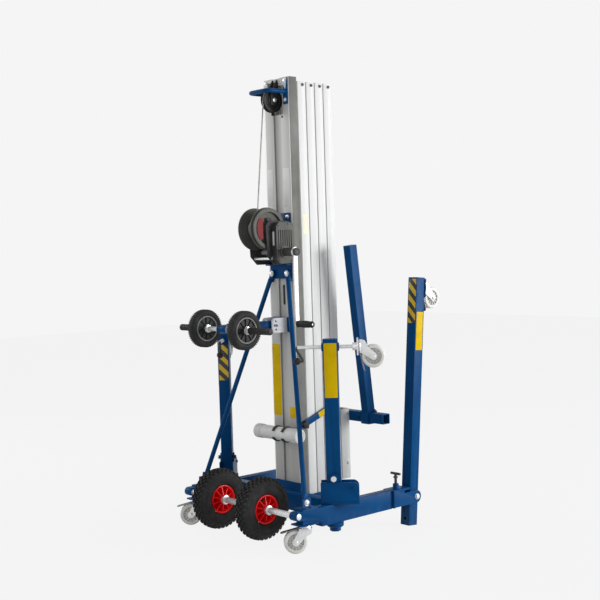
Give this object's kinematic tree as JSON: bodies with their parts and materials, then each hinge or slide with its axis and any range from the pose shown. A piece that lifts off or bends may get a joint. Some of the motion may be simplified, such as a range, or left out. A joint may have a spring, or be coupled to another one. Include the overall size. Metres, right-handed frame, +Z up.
{
  "type": "material hoist",
  "caption": "Stowed material hoist: nested telescopic mast with winch and fork carriage on a base with folding legs, stabilisers, castors and transport wheels.",
  "frame": {"origin": "on the floor, under the middle of the stowed hoist's bounding box", "axes": "+X to the hoist's right, +Y forward towards the forks, +Z up"},
  "size_m": [1.037, 1.0046, 1.945],
  "materials": {
    "blue_paint": "satin blue powder coat",
    "aluminium": "mill-finish extrusion",
    "zinc": "bright zinc plate",
    "black_paint": "satin black paint",
    "black_plastic": "moulded matt black",
    "solid_rubber": "moulded rubber",
    "tyre": "treaded rubber",
    "red_paint": "gloss red paint",
    "nylon": "off-white nylon"
  },
  "bodies": {
    "base": {"beam_left": "blue_paint", "beam_right": "blue_paint", "crossmember": "blue_paint", "mast_section_1": "aluminium", "guard_bow": "blue_paint", "lift_cable": "zinc", "winch_bracket": "blue_paint", "winch_frame": "black_paint", "gear_cover": "black_paint", "braces": "blue_paint", "tip_bracket": "blue_paint", "axles": "zinc", "hand_grips": "black_plastic", "document_tube": "nylon", "tube_clips": "black_plastic", "fasteners": "zinc"},
    "section_2": {"mast_section_2": "aluminium"},
    "section_3": {"mast_section_3": "aluminium"},
    "section_4": {"mast_section_4": "aluminium"},
    "section_5": {"mast_section_5": "aluminium"},
    "carriage": {"carriage": "aluminium", "crossbar": "blue_paint"},
    "lock": {"transport_lock": "blue_paint"},
    "sheave": {"top_sheave": "black_plastic"},
    "drum": {"winch_drum": "black_paint", "drum_winding": "zinc"},
    "crank": {"winch_crank": "zinc"},
    "crank_grip": {"crank_grip": "black_plastic"},
    "fork_left": {"fork_left": "blue_paint"},
    "tip_wheel_left": {"tip_wheel_left": "solid_rubber"},
    "wheel_left": {"rim_left": "red_paint", "tyre_left": "tyre"},
    "leg_left": {"leg_left": "blue_paint"},
    "leg_plunger_left": {"leg_plunger_left": "zinc"},
    "stab_bracket_left": {"stab_bracket_left": "blue_paint"},
    "stab_arm_left": {"stab_arm_left": "blue_paint"},
    "jack_head_left": {"jack_head_left": "zinc"},
    "jack_spindle_left": {"jack_spindle_left": "zinc"},
    "rear_castor_left": {"rear_castor_left": "zinc"},
    "rear_castor_wheel_left": {"rear_castor_wheel_left": "nylon"},
    "leg_castor_left": {"leg_castor_left": "zinc"},
    "leg_castor_wheel_left": {"leg_castor_wheel_left": "nylon"},
    "jack_castor_left": {"jack_castor_left": "zinc"},
    "jack_castor_wheel_left": {"jack_castor_wheel_left": "nylon"},
    "fork_right": {"fork_right": "blue_paint"},
    "tip_wheel_right": {"tip_wheel_right": "solid_rubber"},
    "wheel_right": {"rim_right": "red_paint", "tyre_right": "tyre"},
    "leg_right": {"leg_right": "blue_paint"},
    "leg_plunger_right": {"leg_plunger_right": "zinc"},
    "stab_bracket_right": {"stab_bracket_right": "blue_paint"},
    "stab_arm_right": {"stab_arm_right": "blue_paint"},
    "jack_head_right": {"jack_head_right": "zinc"},
    "jack_spindle_right": {"jack_spindle_right": "zinc"},
    "rear_castor_right": {"rear_castor_right": "zinc"},
    "rear_castor_wheel_right": {"rear_castor_wheel_right": "nylon"},
    "leg_castor_right": {"leg_castor_right": "zinc"},
    "leg_castor_wheel_right": {"leg_castor_wheel_right": "nylon"},
    "jack_castor_right": {"jack_castor_right": "zinc"},
    "jack_castor_wheel_right": {"jack_castor_wheel_right": "nylon"}
  },
  "joints": [
    {"name": "section_2_lift", "type": "slide", "parent": "base", "child": "section_2", "axis": [0, 0, 1], "range_m": [0, 1.4]},
    {"name": "section_3_lift", "type": "slide", "parent": "section_2", "child": "section_3", "axis": [0, 0, 1], "range_m": [0, 1.4]},
    {"name": "section_4_lift", "type": "slide", "parent": "section_3", "child": "section_4", "axis": [0, 0, 1], "range_m": [0, 1.4]},
    {"name": "section_5_lift", "type": "slide", "parent": "section_4", "child": "section_5", "axis": [0, 0, 1], "range_m": [0, 1.4]},
    {"name": "carriage_lift", "type": "slide", "parent": "section_5", "child": "carriage", "axis": [0, 0, 1], "range_m": [0, 1.4]},
    {"name": "drum_turn", "type": "hinge", "parent": "base", "child": "drum", "pos_m": [0, -0.2083, 1.302], "axis": [1, 0, 0], "range_deg": [0, 1651]},
    {"name": "crank_turn", "type": "hinge", "parent": "base", "child": "crank", "pos_m": [0, -0.16073, 1.20226], "axis": [1, 0, 0], "range_deg": [-4952, 0]},
    {"name": "sheave_turn", "type": "hinge", "parent": "base", "child": "sheave", "pos_m": [0, -0.1263, 1.85], "axis": [1, 0, 0], "range_deg": [0, 1744.3]},
    {"name": "crank_grip_turn", "type": "hinge", "parent": "crank", "child": "crank_grip", "pos_m": [0.16, -0.16073, 0.90026], "axis": [1, 0, 0], "continuous": true},
    {"name": "lock_swing", "type": "hinge", "parent": "base", "child": "lock", "pos_m": [0.089, -0.0763, 0.458], "axis": [1, 0, 0], "range_deg": [0, 60]},
    {"name": "fork_slide_left", "type": "slide", "parent": "carriage", "child": "fork_left", "axis": [-1, 0, 0], "range_m": [-0.05, 0.075]},
    {"name": "tip_wheel_turn_left", "type": "hinge", "parent": "base", "child": "tip_wheel_left", "pos_m": [-0.132, -0.4223, 0.89], "axis": [1, 0, 0], "continuous": true},
    {"name": "wheel_turn_left", "type": "hinge", "parent": "base", "child": "wheel_left", "pos_m": [-0.144, -0.3683, 0.155], "axis": [1, 0, 0], "continuous": true},
    {"name": "leg_fold_left", "type": "hinge", "parent": "base", "child": "leg_left", "pos_m": [-0.353, 0.3027, 0.126], "axis": [-1, 0, 0], "range_deg": [0, 85.1]},
    {"name": "leg_plunger_slide_left", "type": "slide", "parent": "base", "child": "leg_plunger_left", "axis": [0, 0, -1], "range_m": [0, 0.024]},
    {"name": "stab_swivel_left", "type": "hinge", "parent": "base", "child": "stab_bracket_left", "pos_m": [-0.353, -0.1553, 0.2], "axis": [0, 0, -1], "range_deg": [-45, 15]},
    {"name": "stab_fold_left", "type": "hinge", "parent": "stab_bracket_left", "child": "stab_arm_left", "pos_m": [-0.353, -0.1553, 0.278], "axis": [-0.7071, -0.7071, 0], "range_deg": [0, 90]},
    {"name": "jack_slide_left", "type": "slide", "parent": "stab_arm_left", "child": "jack_head_left", "axis": [-0.7071, 0.7071, 0], "range_m": [0, 0.0601]},
    {"name": "jack_turn_left", "type": "hinge", "parent": "jack_head_left", "child": "jack_spindle_left", "pos_m": [-0.353, -0.1553, 0.812], "axis": [-0.7071, 0.7071, 0], "range_deg": [0, 4320]},
    {"name": "rear_castor_swivel_left", "type": "hinge", "parent": "base", "child": "rear_castor_left", "pos_m": [-0.353, -0.3203, 0.1], "axis": [0, 0, 1], "continuous": true},
    {"name": "rear_castor_wheel_turn_left", "type": "hinge", "parent": "rear_castor_left", "child": "rear_castor_wheel_left", "pos_m": [-0.37707, -0.35224, 0.0475], "axis": [0.7986, -0.6018, 0], "continuous": true},
    {"name": "leg_castor_swivel_left", "type": "hinge", "parent": "leg_left", "child": "leg_castor_left", "pos_m": [-0.353, 0.41986, 1.02428], "axis": [0, 0.9963, -0.0854], "continuous": true},
    {"name": "leg_castor_wheel_turn_left", "type": "hinge", "parent": "leg_castor_left", "child": "leg_castor_wheel_left", "pos_m": [-0.353, 0.4548, 0.98113], "axis": [1, 0, 0], "continuous": true},
    {"name": "jack_castor_swivel_left", "type": "hinge", "parent": "jack_head_left", "child": "jack_castor_left", "pos_m": [-0.45199, -0.0563, 0.812], "axis": [-0.7071, 0.7071, 0], "continuous": true},
    {"name": "jack_castor_wheel_turn_left", "type": "hinge", "parent": "jack_castor_left", "child": "jack_castor_wheel_left", "pos_m": [-0.47639, -0.03191, 0.772], "axis": [-0.7071, -0.7071, 0], "continuous": true},
    {"name": "fork_slide_right", "type": "slide", "parent": "carriage", "child": "fork_right", "axis": [1, 0, 0], "range_m": [-0.05, 0.075]},
    {"name": "tip_wheel_turn_right", "type": "hinge", "parent": "base", "child": "tip_wheel_right", "pos_m": [0.132, -0.4223, 0.89], "axis": [1, 0, 0], "continuous": true},
    {"name": "wheel_turn_right", "type": "hinge", "parent": "base", "child": "wheel_right", "pos_m": [0.144, -0.3683, 0.155], "axis": [1, 0, 0], "continuous": true},
    {"name": "leg_fold_right", "type": "hinge", "parent": "base", "child": "leg_right", "pos_m": [0.353, 0.3027, 0.126], "axis": [-1, 0, 0], "range_deg": [0, 85.1]},
    {"name": "leg_plunger_slide_right", "type": "slide", "parent": "base", "child": "leg_plunger_right", "axis": [0, 0, -1], "range_m": [0, 0.024]},
    {"name": "stab_swivel_right", "type": "hinge", "parent": "base", "child": "stab_bracket_right", "pos_m": [0.353, -0.1553, 0.2], "axis": [0, 0, 1], "range_deg": [-45, 15]},
    {"name": "stab_fold_right", "type": "hinge", "parent": "stab_bracket_right", "child": "stab_arm_right", "pos_m": [0.353, -0.1553, 0.278], "axis": [-0.7071, 0.7071, 0], "range_deg": [0, 90]},
    {"name": "jack_slide_right", "type": "slide", "parent": "stab_arm_right", "child": "jack_head_right", "axis": [0.7071, 0.7071, 0], "range_m": [0, 0.0601]},
    {"name": "jack_turn_right", "type": "hinge", "parent": "jack_head_right", "child": "jack_spindle_right", "pos_m": [0.353, -0.1553, 0.812], "axis": [0.7071, 0.7071, 0], "range_deg": [0, 4320]},
    {"name": "rear_castor_swivel_right", "type": "hinge", "parent": "base", "child": "rear_castor_right", "pos_m": [0.353, -0.3203, 0.1], "axis": [0, 0, 1], "continuous": true},
    {"name": "rear_castor_wheel_turn_right", "type": "hinge", "parent": "rear_castor_right", "child": "rear_castor_wheel_right", "pos_m": [0.32893, -0.35224, 0.0475], "axis": [0.7986, -0.6018, 0], "continuous": true},
    {"name": "leg_castor_swivel_right", "type": "hinge", "parent": "leg_right", "child": "leg_castor_right", "pos_m": [0.353, 0.41986, 1.02428], "axis": [0, 0.9963, -0.0854], "continuous": true},
    {"name": "leg_castor_wheel_turn_right", "type": "hinge", "parent": "leg_castor_right", "child": "leg_castor_wheel_right", "pos_m": [0.353, 0.4548, 0.98113], "axis": [1, 0, 0], "continuous": true},
    {"name": "jack_castor_swivel_right", "type": "hinge", "parent": "jack_head_right", "child": "jack_castor_right", "pos_m": [0.45199, -0.0563, 0.812], "axis": [0.7071, 0.7071, 0], "continuous": true},
    {"name": "jack_castor_wheel_turn_right", "type": "hinge", "parent": "jack_castor_right", "child": "jack_castor_wheel_right", "pos_m": [0.47639, -0.03191, 0.772], "axis": [-0.7071, 0.7071, 0], "continuous": true}
  ],
  "couplings": [
    {"joint": "section_3_lift", "follows": "section_2_lift", "ratio": 1},
    {"joint": "section_4_lift", "follows": "section_2_lift", "ratio": 1},
    {"joint": "section_5_lift", "follows": "section_2_lift", "ratio": 1},
    {"joint": "carriage_lift", "follows": "section_2_lift", "ratio": 1},
    {"joint": "drum_turn", "follows": "section_2_lift", "rad_per_m": 20.576},
    {"joint": "crank_turn", "follows": "section_2_lift", "rad_per_m": -61.728},
    {"joint": "sheave_turn", "follows": "section_2_lift", "rad_per_m": 21.739},
    {"joint": "jack_slide_left", "follows": "jack_turn_left", "m_per_rad": 0.00079577},
    {"joint": "jack_slide_right", "follows": "jack_turn_right", "m_per_rad": 0.00079577}
  ]
}
